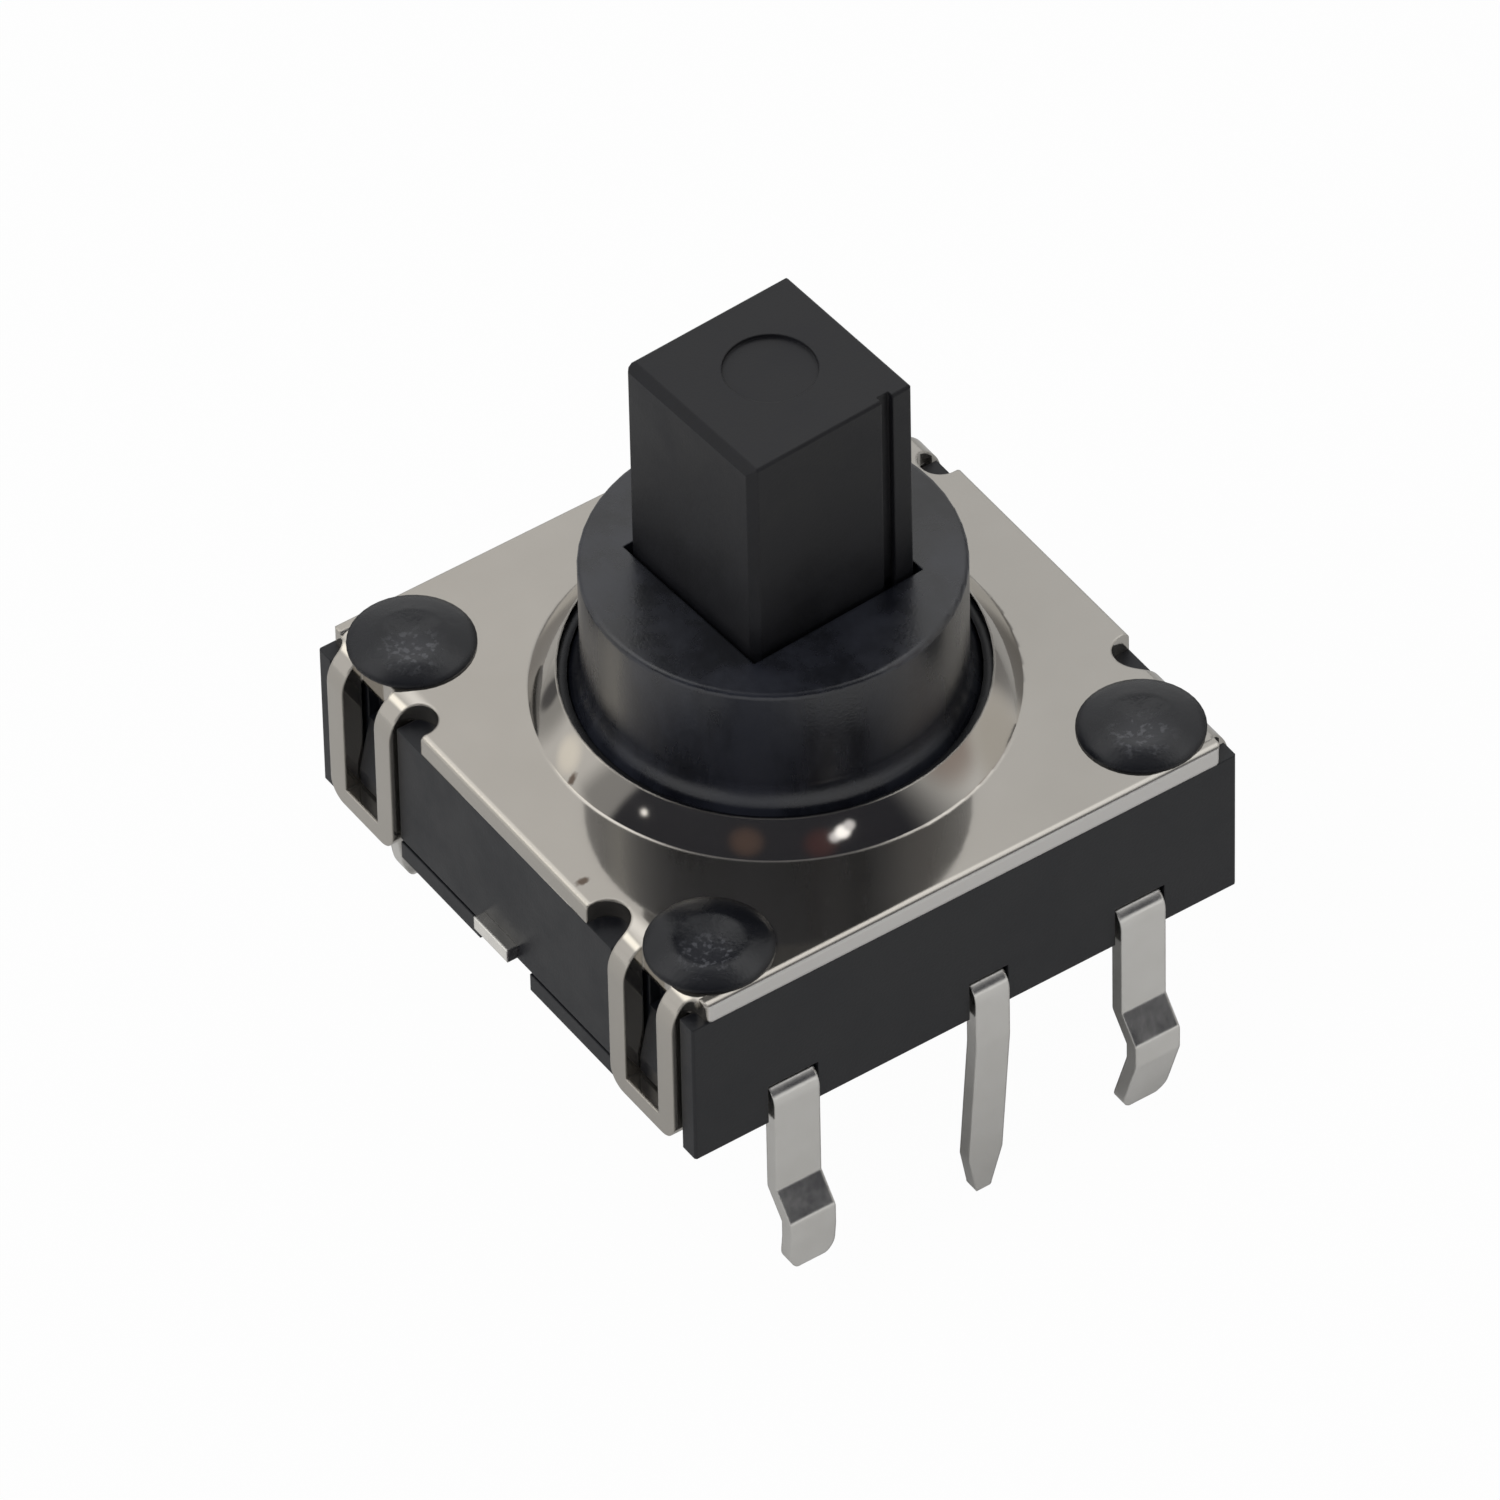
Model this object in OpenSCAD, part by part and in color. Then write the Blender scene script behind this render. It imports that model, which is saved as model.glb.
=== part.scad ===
// Multi-direction switch: a square knob that tilts four ways and pushes down in the middle.
// Units are millimetres. The origin is the middle of the housing's underside, which sits on
// the circuit board. +Z points up along the knob. The pins stand on the -Y and +Y sides and
// the cover's snap tabs on the -X and +X sides.

/* [Housing] */
// Width of the square housing
body_w = 10; // [9.8:0.1:12]
// Height of the housing, from the board to the cover
housing_h = 2.76; // [2.7:0.02:3.4]
// Chamfer on the housing's upright corners
corner_cut = 0.03; // [0.02:0.01:0.3]
// Thickness of plastic over the contact strips
floor_skin = 0.2; // [0.15:0.01:0.4]
// Depth of the wells that the snap domes sit in
well_depth = 0.1; // [0.05:0.01:0.15]
// Height of the foot under the groove on the tab sides
foot_h = 0.34; // [0.25:0.01:0.4]
// Depth of the groove above the foot
groove_depth = 0.07; // [0.03:0.01:0.12]
// Width of the gap in the foot at a lead stub
foot_gap_w = 1.35; // [1.1:0.05:1.8]

/* [Stake posts] */
// Distance of each stake post from the two faces beside it
post_inset = 1.03; // [1:0.01:1.3]
// Radius of a stake post
post_r = 0.6; // [0.4:0.05:0.7]
// Radius of a staked head
head_r = 1.0; // [0.8:0.01:1.01]
// Height of a staked head above the cover
head_h = 0.21; // [0.18:0.01:0.35]
// Height of the upright rim of a staked head
head_rim = 0.04; // [0.03:0.01:0.12]
// Radius of the dish in a staked head
dish_r = 0.72; // [0.4:0.02:0.8]
// Depth of the dish in a staked head
dish_depth = 0.13; // [0.04:0.01:0.15]

/* [Cover] */
// Thickness of the cover's sheet
sheet_t = 0.36; // [0.25:0.01:0.45]
// Rounding of the cover's corner tips
cover_corner_r = 0.1; // [0.05:0.01:0.15]
// Depth of the notch between a corner tip and the tab beside it
corner_notch = 0.27; // [0.25:0.01:0.4]
// Rounding of the cover's sheared top edge
shear_r = 0.1; // [0.05:0.01:0.15]
// Radius of the lip's foot on the cover
lip_foot_r = 3.76; // [3.7:0.02:4.2]
// Radius of the opening in the lip
lip_hole_r = 3.31; // [3.25:0.01:3.4]
// Height of the lip above the cover
lip_h = 0.47; // [0.4:0.01:0.7]
// Radius of the lip's crowned outer face
lip_crown_r = 4; // [1:0.1:6]
// Inner radius of the bend at the lip's foot
lip_fillet_r = 0.07; // [0.05:0.01:0.3]

/* [Snap tabs] */
// Distance between the two tabs on one side
tab_pitch = 7.54; // [7.2:0.02:7.6]
// Width of a tab
tab_w = 1.68; // [1.5:0.02:1.8]
// Width of the window in a tab
window_w = 0.88; // [0.7:0.02:1.0]
// Height of the bar under a tab's window
tab_bar = 0.34; // [0.25:0.01:0.5]
// How far a tab stands out from the housing's face
tab_proud = 0.12; // [0.05:0.01:0.2]
// Height of a tab's end above the board
tab_end = 0.08; // [0.04:0.01:0.2]
// Outer radius of the bend at the top of a tab
tab_bend_r = 0.68; // [0.45:0.01:0.7]
// Radius of a tab's bottom corners
tab_corner_r = 0.34; // [0.1:0.02:0.4]
// Width of the relief notch beside a tab, on the inner side
relief_w = 0.72; // [0.5:0.02:0.8]
// Depth of the relief notch beside a tab
relief_depth = 0.5; // [0.4:0.02:0.6]

/* [Tilting knob] */
// Height of the tilt centre above the board
pivot_h = 1.9; // [1.8:0.02:2.1]
// Tilt each way, in degrees
tilt_deg = 5; // [3:0.5:5]
// Radius of the collar round the stem
collar_r = 2.96; // [2.7:0.02:3.0]
// Height of the collar's top above the board
collar_top = 5.81; // [4.8:0.05:7]
// Radius of the hollow where the collar's barrel widens into its flange
collar_fillet_r = 0.7; // [0.2:0.05:0.8]
// Thickness of the guide ring between collar and lip
ring_t = 0.15; // [0.12:0.01:0.2]
// Turn of the knob's square against the housing, in degrees
square_turn = 3.1; // [0:0.1:4]

/* [Stem] */
// Width of the square stem
stem_w = 3.04; // [2.4:0.02:3.6]
// Height of the stem's top above the board
stem_top = 9.65; // [8:0.05:12]
// Chamfer on the top edge of the stem's -X side
stem_top_cut = 0.14; // [0.1:0.01:0.3]
// Chamfer on the upright edge between the stem's -X and -Y sides
stem_edge_cut = 0.13; // [0.05:0.01:0.2]
// Chamfer on the stem's other edges
stem_break = 0.04; // [0.02:0.01:0.08]
// Width of the strip beside the groove in the stem
stem_strip_w = 0.36; // [0.3:0.02:0.6]
// Width of the groove in the stem
stem_groove_w = 0.22; // [0.1:0.01:0.3]
// Depth of the groove in the stem
stem_groove_depth = 0.12; // [0.05:0.01:0.2]
// Radius of the round recess in the stem's top
stem_mark_r = 0.73; // [0.5:0.01:0.9]
// Offset of the recess from the middle of the stem, towards +X and +Y
stem_mark_shift = 0.1; // [0:0.01:0.2]
// Depth of the round recess in the stem's top
stem_mark_depth = 0.06; // [0.03:0.01:0.12]
// Ledge of the round stop flange beyond the stem's faces
stem_ledge = 0.41; // [0.3:0.01:0.5]
// Thickness of the stop flange
stem_flange_t = 0.45; // [0.3:0.01:0.5]

/* [Snap domes] */
// Distance of each side dome from the middle
dome_pitch = 2.7; // [2.65:0.01:2.75]
// Radius of a side dome
side_dome_r = 1.1; // [0.9:0.02:1.12]
// Radius of the centre dome
centre_dome_r = 1.3; // [1:0.02:1.32]
// Free height of every dome
dome_h = 0.28; // [0.2:0.01:0.32]
// Thickness of the domes' sheet
dome_t = 0.06; // [0.04:0.01:0.08]

/* [Terminals] */
// Thickness of the terminals' strip
strip_t = 0.25; // [0.2:0.01:0.3]
// Height of the strips' underside above the board
strip_h = 0.45; // [0.4:0.01:0.6]
// Width of the strips inside the housing
strip_w = 0.5; // [0.4:0.02:0.6]
// Distance of the outer pins from the middle of their side
outer_pin_x = 3.2; // [3:0.05:3.5]
// Offset of the middle pin from the middle of its side
mid_pin_x = 0.4; // [0.3:0.05:0.8]
// Width of an outer pin
outer_pin_w = 0.82; // [0.7:0.01:0.9]
// Width of a middle pin
mid_pin_w = 0.62; // [0.5:0.01:0.7]
// Length of an outer pin below the board plane
outer_pin_len = 3.1; // [2.9:0.05:4]
// Length of a middle pin below the board plane
mid_pin_len = 4.15; // [3:0.05:4.5]
// How far the pins stand out from the housing's face
pin_proud = 0.1; // [0:0.01:0.15]
// Outer radius of the bend at the top of a pin
pin_bend_r = 0.35; // [0.3:0.01:0.4]
// Depth below the board plane where an outer pin's kink begins
kink_start = 1.48; // [1.2:0.02:1.6]
// Height of the kink's slope
kink_h = 0.47; // [0.4:0.01:0.7]
// How far the kink stands out
kink_out = 0.37; // [0.2:0.01:0.4]
// Width of the lead stub on each tab side
stub_w = 0.9; // [0.6:0.05:1.0]
// How far a lead stub stands out from the housing
stub_out = 0.2; // [0.1:0.01:0.3]
// Offset of a lead stub from the middle of its side
stub_y = 0.15; // [0:0.01:0.3]

/* [Hidden] */
$fn = 64;

plastic = "#2d2e33";
knob_plastic = "#35373d";
nickel = "#aaa59c";
tin = "#b8b5b0";
dome_steel = "#c9cbcd";

eps = 0.01;            // overshoot of a cutting shape past the face it cuts
seat_gap = 0.04;       // running gap between the spherical faces
slide_gap = 0.09;      // gap on each side of the stem in the collar's square hole
stop_gap = 0.02;       // gap at the stem's upward stop
press_gap = 0.04;      // gap between an undriven dome and what presses it
pocket_gap = 0.1;      // gap between a tab and its pocket
hole_gap = 0.03;       // gap round a stake post in the cover
cavity_gap = 0.2;      // gap between the spherical seat and the cavity wall

face = body_w / 2;
cover_top = housing_h + sheet_t;
strip_top = strip_h + strip_t;
floor_z = strip_top + floor_skin;
well_z = floor_z - well_depth;
dome_top = well_z + dome_h;

// The lip, the guide ring and the collar share spheres about the tilt centre.
lip_top = cover_top + lip_h;
seat_r = norm([lip_hole_r, lip_top - pivot_h]);
ring_out_r = seat_r - seat_gap;
ring_in_r = ring_out_r - ring_t;
flange_r = ring_in_r - seat_gap;
cavity_r = seat_r + cavity_gap;

// The ring ends where the tilted collar's barrel would meet it.
barrel_angle = asin(collar_r / flange_r);
ring_top_angle = barrel_angle + tilt_deg + 0.5;
ring_top = pivot_h + ring_in_r * cos(ring_top_angle);
ring_bottom = pivot_h + 0.6;

collar_bottom = pivot_h - 0.45;
edge_lap = 0.1;         // overlap of joined shapes inside the collar
nub_r = 0.42;
nub_round = 0.12;
lug_w = 0.8;
lug_h = 0.5;
lug_r = cavity_r + 0.38;
lug_z = pivot_h - 0.3;
guide_w = 1.1;
guide_r = lug_r + 0.2;
guide_drop = 0.75;      // depth of the lugs' grooves below the lugs

flange_top = pivot_h + 0.05;
flange_bottom = flange_top - stem_flange_t;
stem_flange_r = stem_w / 2 + stem_ledge;
bore_r = max(stem_flange_r + 0.1, stem_w / sqrt(2) + slide_gap);
bore_top = flange_top + stop_gap;
nose_r = pivot_h - dome_top - press_gap;
square_w = stem_w + 2 * slide_gap;

side_well_r = side_dome_r + 0.06;
centre_well_r = centre_dome_r + 0.06;
contact_r = 0.42;
rim_pad_r = 0.2;
rim_inset = 0.09;

pocket_depth = sheet_t - tab_proud + pocket_gap;
pocket_w = tab_w + 0.12;
catch_w = window_w - 0.06;
catch_base = tab_end + tab_bar + 0.06;
catch_step = 0.3;       // upright part of the wedge
catch_h = 1.3;
catch_in = 0.14;        // how far the wedge stays behind the housing's face
bend_room = 0.05;       // extra depth of the pocket under a tab's bend
window_well = 0.2;      // how much deeper the pocket is above the wedge
corner_notch_r = 0.18;

pin_gap = 0.05;         // gap on each side of a pin in its opening
notch_depth = 0.4;
notch_top = strip_top + 0.06;
foot_gap_depth = 0.35;
foot_gap_shift = 0.08;  // offset of the foot's gap from the middle of the stub

pin_tip_r = 0.37;
pin_root = 0.6;         // length of a pin's full width inside the wall
mid_tip_w = 0.3;
mid_taper = 0.9;
mid_lean = 0.3;
mid_lean_start = 0.6;
kink_land = 0.35;       // straight part of an outer pin under its kink

// For each outer pin: how far its end is bent back from the kink's peak, and how much longer
// than the shortest it is cut
west_end = [0.06, -0.1];
centre_end = [0.4, 0.55];
east_end = [0.25, 0];
common_end = [0.25, 0];

lead_start = 0.75;      // distance of a strip's first point from the housing's face
lead_turn = 1.6;        // distance from the X axis where a side strip turns to its contact
mid_turn = 0.8;         // distance before its contact where a middle strip turns

function arc_centre(a, b, r) =
    let (half = (b - a) / 2,
         side = sqrt(r * r - half * half),
         across = [-half[1], half[0]] / norm(half))
    a + half + across * side;

// A straight bar with round ends.
module bar(a, b, w) {
    run = b - a;
    translate(a) rotate(atan2(run[1], run[0])) translate([0, -w / 2]) square([norm(run), w]);
    translate(a) circle(d = w);
    translate(b) circle(d = w);
}

// A strip of constant width along a list of points.
module track(points, w) {
    for (i = [0 : len(points) - 2])
        bar(points[i], points[i + 1], w);
}

// Places its children at the four snap tabs, with the tab's outward direction along -X.
module at_tabs() {
    for (side = [0, 180], y = [-1, 1])
        rotate(side) translate([-face, y * tab_pitch / 2, 0]) children();
}

module at_posts() {
    for (x = [-1, 1], y = [-1, 1])
        translate([x, y, 0] * (face - post_inset)) children();
}

module at_side_domes() {
    for (a = [0 : 90 : 270])
        rotate(a) translate([dome_pitch, 0, 0]) children();
}

// ---- Housing ----

// A short upright rim, a domed top and a dish in the middle.
module staked_head() {
    dome = head_h - head_rim;
    crown_r = (head_r * head_r + dome * dome) / (2 * dome);
    dish_ball = (dish_r * dish_r + dish_depth * dish_depth) / (2 * dish_depth);
    rotate_extrude() difference() {
        union() {
            square([head_r, head_rim]);
            intersection() {
                translate([0, head_h - crown_r]) circle(crown_r, $fn = 180);
                translate([0, head_rim]) square([head_r, dome]);
            }
        }
        translate([0, head_h - dish_depth + dish_ball]) circle(dish_ball, $fn = 180);
    }
}

module housing_block() {
    linear_extrude(housing_h) difference() {
        square(body_w, center = true);
        for (a = [0 : 90 : 270])
            rotate(a) translate([face, face]) rotate(45)
                square([corner_cut * sqrt(2), body_w], center = true);
    }
}

// Opening in the wall round a pin on the -Y side.
module pin_notch(x, pin_w) {
    w = pin_w + 2 * pin_gap;
    translate([x - w / 2, -face - eps, -eps]) cube([w, notch_depth + eps, notch_top + eps]);
}

module tab_pocket() {
    difference() {
        translate([-eps, -pocket_w / 2, -eps])
            cube([pocket_depth + eps, pocket_w, housing_h + 2 * eps]);
        snap_catch();
    }
    translate([pocket_depth - eps, -catch_w / 2, catch_base + catch_h])
        cube([window_well + eps, catch_w, housing_h - catch_base - catch_h + eps]);
    bend_h = tab_bend_r - sheet_t + bend_room;
    translate([-eps, -pocket_w / 2, housing_h - bend_h])
        cube([tab_bend_r - tab_proud + eps, pocket_w, bend_h + eps]);
}

// The wedge that a tab's window snaps over.
module snap_catch() {
    rotate([90, 0, 0]) linear_extrude(catch_w, center = true)
        polygon([[pocket_depth + eps, catch_base], [catch_in, catch_base],
                 [catch_in, catch_base + catch_step],
                 [pocket_depth + eps, catch_base + catch_h]]);
}

// The groove over the foot and the foot's gap at the lead stub, on the -X side.
module foot_cuts() {
    groove_half = (tab_pitch - tab_w) / 2;
    translate([-face - eps, -groove_half, foot_h])
        cube([groove_depth + eps, 2 * groove_half, groove_depth]);
    translate([-face - eps, stub_y - foot_gap_shift - foot_gap_w / 2, -eps])
        cube([foot_gap_depth, foot_gap_w, foot_h + 2 * eps]);
}

module housing() color(plastic) difference() {
    union() {
        housing_block();
        at_posts() cylinder(r = post_r, h = cover_top + head_h / 3);
        at_posts() translate([0, 0, cover_top]) staked_head();
    }
    translate([0, 0, floor_z]) cylinder(r = cavity_r, h = housing_h);
    for (a = [45 : 90 : 315])
        rotate(a) translate([0, -guide_w / 2, lug_z - guide_drop])
            cube([guide_r, guide_w, housing_h]);
    translate([0, 0, well_z]) cylinder(r = centre_well_r, h = housing_h);
    at_side_domes() translate([0, 0, well_z]) cylinder(r = side_well_r, h = well_depth + eps);
    at_tabs() tab_pocket();
    for (side = [0, 180])
        rotate(side) {
            pin_notch(-outer_pin_x, outer_pin_w);
            pin_notch(mid_pin_x, mid_pin_w);
            pin_notch(outer_pin_x, outer_pin_w);
            foot_cuts();
        }
    west_lead();
    east_lead();
    south_lead();
    north_lead();
    centre_lead();
    common_lead();
}

// ---- Cover ----

// The plate with its rounded top edges.
module cover_plate() intersection() {
    linear_extrude(cover_top) plate_outline();
    plate_bar();
    rotate(90) plate_bar();
}

// A square whose corners are cut back along the tab sides, with a round inner corner.
module plate_outline() {
    tip = face - corner_notch;
    shoulder = tab_pitch / 2 + tab_w / 2;
    square([body_w, 2 * shoulder], center = true);
    square([2 * (tip - cover_corner_r), body_w], center = true);
    square([2 * tip, body_w - 2 * cover_corner_r], center = true);
    for (x = [-1, 1], y = [-1, 1]) {
        translate([x * (tip - cover_corner_r), y * (face - cover_corner_r)])
            circle(cover_corner_r);
        difference() {
            translate([x * (tip + corner_notch_r / 2), y * (shoulder + corner_notch_r / 2 - eps)])
                square([corner_notch_r, corner_notch_r + 2 * eps], center = true);
            translate([x * (tip + corner_notch_r), y * (shoulder + corner_notch_r)])
                circle(corner_notch_r);
        }
    }
}

// The plate's section with rounded top edges, run along X.
module plate_bar() {
    rotate([90, 0, 90]) linear_extrude(body_w, center = true) {
        translate([-face, housing_h]) square([body_w, sheet_t - shear_r]);
        translate([-face + shear_r, housing_h]) square([body_w - 2 * shear_r, sheet_t]);
        for (y = [-1, 1])
            translate([y * (face - shear_r), cover_top - shear_r]) circle(shear_r);
    }
}

module lip_bead() {
    foot = [lip_foot_r, cover_top];
    peak = [lip_hole_r + 0.02, lip_top];
    chord = peak - foot;
    slope = atan2(chord[1], -chord[0]) + asin(norm(chord) / (2 * lip_crown_r));
    run = lip_fillet_r * tan(slope / 2);
    rotate_extrude($fn = 128) {
        intersection() {
            translate(arc_centre(foot, peak, lip_crown_r)) circle(lip_crown_r, $fn = 180);
            translate([lip_hole_r - 0.2, housing_h])
                square([lip_foot_r - lip_hole_r + 0.2, lip_top - housing_h]);
        }
        difference() {
            polygon([foot + [run, 0], foot + run * [-cos(slope), sin(slope)],
                     foot + run * [-cos(slope), 0] - [0, sheet_t / 2],
                     foot + [run, -sheet_t / 2]]);
            translate(foot + [run, lip_fillet_r]) circle(lip_fillet_r);
        }
    }
}

module snap_tab() {
    inner_r = tab_bend_r - sheet_t;
    bend_x = -tab_proud + tab_bend_r;
    bend_z = cover_top - tab_bend_r;
    intersection() {
        rotate([90, 0, 0]) linear_extrude(tab_w, center = true) {
            translate([bend_x, housing_h]) square([0.3, sheet_t]);
            translate([-tab_proud, tab_end]) square([sheet_t, bend_z - tab_end]);
            intersection() {
                translate([bend_x, bend_z]) difference() {
                    circle(tab_bend_r);
                    circle(inner_r);
                }
                translate([-tab_proud, bend_z]) square(tab_bend_r);
            }
        }
        tab_outline();
    }
}

// The space above a tab's bend and the plate's edges beside it, up to the notches.
module over_bend() {
    bend_x = -tab_proud + tab_bend_r;
    bend_z = cover_top - tab_bend_r;
    rotate([90, 0, 0]) linear_extrude(tab_w + relief_w / 2 + corner_notch_r, center = true)
        difference() {
            translate([-eps, bend_z]) square([bend_x + eps, tab_bend_r + eps]);
            translate([bend_x, bend_z]) circle(tab_bend_r);
        }
}

// Front view of a tab with round bottom corners.
module tab_outline() {
    low = tab_end + tab_corner_r;
    rotate([90, 0, -90]) linear_extrude(3, center = true) {
        translate([-tab_w / 2, low]) square([tab_w, cover_top]);
        translate([-tab_w / 2 + tab_corner_r, tab_end])
            square([tab_w - 2 * tab_corner_r, cover_top]);
        for (y = [-1, 1])
            translate([y * (tab_w / 2 - tab_corner_r), low]) circle(tab_corner_r);
    }
}

// The window of a tab, which runs up through the bend and a little into the plate.
module tab_window() {
    translate([-1, -window_w / 2, tab_end + tab_bar])
        cube([1 + sheet_t - tab_proud + 2 * eps, window_w, cover_top]);
}

// The notch in the plate beside a tab, towards the middle of its side.
module tab_relief(inward) {
    r = relief_w / 2;
    translate([0, inward * (tab_w / 2 + r), 0]) {
        translate([relief_depth - r, 0, 0]) cylinder(r = r, h = cover_top + eps);
        translate([-eps, -r, 0]) cube([relief_depth - r + eps, relief_w, cover_top + eps]);
    }
}

module cover() color(nickel) difference() {
    union() {
        difference() {
            union() {
                cover_plate();
                lip_bead();
            }
            for (side = [0, 180], y = [-1, 1])
                rotate(side) translate([-face, y * tab_pitch / 2, 0]) {
                    tab_relief(-y);
                    translate([-eps, -tab_w / 2, 0])
                        cube([tab_bend_r - tab_proud + eps, tab_w, cover_top + eps]);
                    translate([0, y * (corner_notch_r - relief_w / 2) / 2, 0]) over_bend();
                }
        }
        at_tabs() snap_tab();
    }
    at_tabs() tab_window();
    translate([0, 0, pivot_h]) sphere(r = seat_r, $fn = 128);
    at_posts() cylinder(r = post_r + hole_gap, h = cover_top + eps);
}

// ---- Tilting parts ----

// A loose ring between two spheres about the tilt centre. It turns about Y with the collar
// and the collar turns about X inside it.
module guide_ring() color(plastic) rotate_extrude($fn = 128) intersection() {
    translate([0, pivot_h]) difference() {
        circle(ring_out_r, $fn = 180);
        circle(ring_in_r, $fn = 180);
    }
    translate([collar_r, ring_bottom]) square([seat_r - collar_r, ring_top - ring_bottom]);
}

module collar_profile() {
    edge = 0.08;
    intersection() {
        translate([0, pivot_h]) circle(flange_r, $fn = 180);
        translate([0, collar_bottom]) square([flange_r, collar_top]);
    }
    translate([0, collar_bottom]) square([collar_r, collar_top - collar_bottom - edge]);
    translate([0, collar_bottom]) square([collar_r - edge, collar_top - collar_bottom]);
    translate([collar_r - edge, collar_top - edge]) circle(edge);
    collar_hollow();
}

// The hollow between the barrel and the ball flange, touching both.
module collar_hollow() {
    pivot = [0, pivot_h];
    across = collar_r + collar_fillet_r;
    reach = flange_r + collar_fillet_r;
    middle = pivot + [across, sqrt(reach * reach - across * across)];
    touch = pivot + (middle - pivot) * flange_r / reach;
    difference() {
        polygon([[collar_r - edge_lap, middle[1]], [collar_r, middle[1]], touch,
                 pivot + (touch - pivot) * 0.97,
                 [collar_r - edge_lap, touch[1]]]);
        translate(middle) circle(collar_fillet_r, $fn = 180);
    }
}

// Presses a side dome when the collar tilts towards it.
module press_nub() {
    nub_z = dome_top + press_gap;
    translate([0, 0, nub_z]) rotate_extrude() {
        translate([0, nub_round]) square([nub_r, collar_bottom - nub_z - nub_round + eps]);
        square([nub_r - nub_round, collar_bottom - nub_z]);
        translate([nub_r - nub_round, nub_round]) circle(nub_round);
    }
}

module collar() color(knob_plastic) difference() {
    union() {
        rotate_extrude($fn = 128) collar_profile();
        at_side_domes() press_nub();
        for (a = [45 : 90 : 315])
            rotate(a) translate([bore_r + 0.5, -lug_w / 2, lug_z])
                cube([lug_r - bore_r - 0.5, lug_w, lug_h]);
    }
    translate([0, 0, collar_bottom - eps]) cylinder(r = bore_r, h = bore_top - collar_bottom + eps);
    rotate(square_turn) translate([-square_w / 2, -square_w / 2, pivot_h])
        cube([square_w, square_w, collar_top]);
}

module stem_section() {
    half = stem_w / 2;
    difference() {
        square(stem_w, center = true);
        for (a = [0 : 90 : 270])
            rotate(a) translate([-half, -half]) rotate(45)
                square([(a == 0 ? stem_edge_cut : stem_break) * sqrt(2), 1], center = true);
        translate([half - stem_strip_w - stem_groove_w, -half - eps])
            square([stem_groove_w, stem_groove_depth + eps]);
    }
}

module edge_cut(cut) {
    rotate([0, 45, 0]) cube([cut * sqrt(2), 2 * stem_w, cut * sqrt(2)], center = true);
}

module stem() color(plastic) rotate(square_turn) {
    difference() {
        translate([0, 0, flange_bottom]) linear_extrude(stem_top - flange_bottom) stem_section();
        for (a = [0 : 90 : 270])
            rotate(a) translate([stem_w / 2, 0, stem_top])
                edge_cut(a == 180 ? stem_top_cut : stem_break);
        translate([stem_mark_shift, stem_mark_shift, stem_top - stem_mark_depth])
            cylinder(r = stem_mark_r, h = 1);
    }
    translate([0, 0, flange_bottom]) cylinder(r = stem_flange_r, h = stem_flange_t);
    intersection() {
        translate([0, 0, pivot_h]) sphere(r = nose_r);
        translate([0, 0, dome_top]) cylinder(r = nose_r, h = flange_bottom - dome_top + 0.1);
    }
}

// ---- Snap domes ----

module snap_dome(r) {
    ball_r = (r * r + dome_h * dome_h) / (2 * dome_h);
    color(dome_steel) translate([0, 0, well_z]) rotate_extrude() intersection() {
        translate([0, dome_h - ball_r]) difference() {
            circle(ball_r, $fn = 180);
            circle(ball_r - dome_t, $fn = 180);
        }
        square([r, dome_h]);
    }
}

module centre_dome() snap_dome(centre_dome_r);
module east_dome() translate([dome_pitch, 0, 0]) snap_dome(side_dome_r);
module north_dome() translate([0, dome_pitch, 0]) snap_dome(side_dome_r);
module west_dome() translate([-dome_pitch, 0, 0]) snap_dome(side_dome_r);
module south_dome() translate([0, -dome_pitch, 0]) snap_dome(side_dome_r);

// ---- Terminals ----
// Every terminal is drawn with its pin on the -Y side. Those of the +Y side are turned over
// by half a turn about Z.

// Side view of a pin: the bend at the wall, then the points given. The first one gives the
// middle of the strip under the bend.
module pin_section(points) {
    outer_y = -face - pin_proud;
    bend_y = outer_y + pin_bend_r;
    bend_z = strip_top - pin_bend_r;
    translate([bend_y, strip_h]) square([pin_proud + 0.2, strip_t]);
    intersection() {
        translate([bend_y, bend_z]) difference() {
            circle(pin_bend_r);
            circle(pin_bend_r - strip_t);
        }
        translate([outer_y, bend_z]) square(pin_bend_r);
    }
    translate([outer_y, points[0][1]]) square([strip_t, bend_z - points[0][1]]);
    track(points, strip_t);
}

module outer_pin_outline(len) {
    inner_w = outer_pin_w - 2 * pin_tip_r;
    translate([-outer_pin_w / 2, -len + pin_tip_r]) square([outer_pin_w, len + 1]);
    translate([-inner_w / 2, -len]) square([inner_w, 1]);
    for (x = [-1, 1])
        translate([x * inner_w / 2, -len + pin_tip_r]) circle(pin_tip_r);
}

module mid_pin_outline() {
    top = strip_top + 1;
    tip_r = mid_tip_w / 2;
    translate([0, -mid_pin_len + tip_r]) circle(tip_r);
    polygon([[-tip_r, -mid_pin_len + tip_r], [tip_r, -mid_pin_len + tip_r],
             [mid_pin_w / 2, -mid_pin_len + mid_taper], [mid_pin_w / 2, top],
             [-mid_pin_w / 2, top], [-mid_pin_w / 2, -mid_pin_len + mid_taper]]);
}

// An outer pin at x, whose end is bent back and cut as its entry in the list above says.
module outer_pin(x, end) {
    len = outer_pin_len + end[1];
    y = -face - pin_proud + strip_t / 2;
    peak = -kink_start - kink_h;
    translate([x, 0, 0]) intersection() {
        rotate([90, 0, 90]) linear_extrude(outer_pin_w, center = true)
            pin_section([[y, -kink_start], [y - kink_out, peak], [y - kink_out, peak - kink_land],
                         [y - kink_out + end[0], -len + strip_t / 2]]);
        rotate([90, 0, 0]) linear_extrude(2 * body_w, center = true) outer_pin_outline(len);
    }
}

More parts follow.
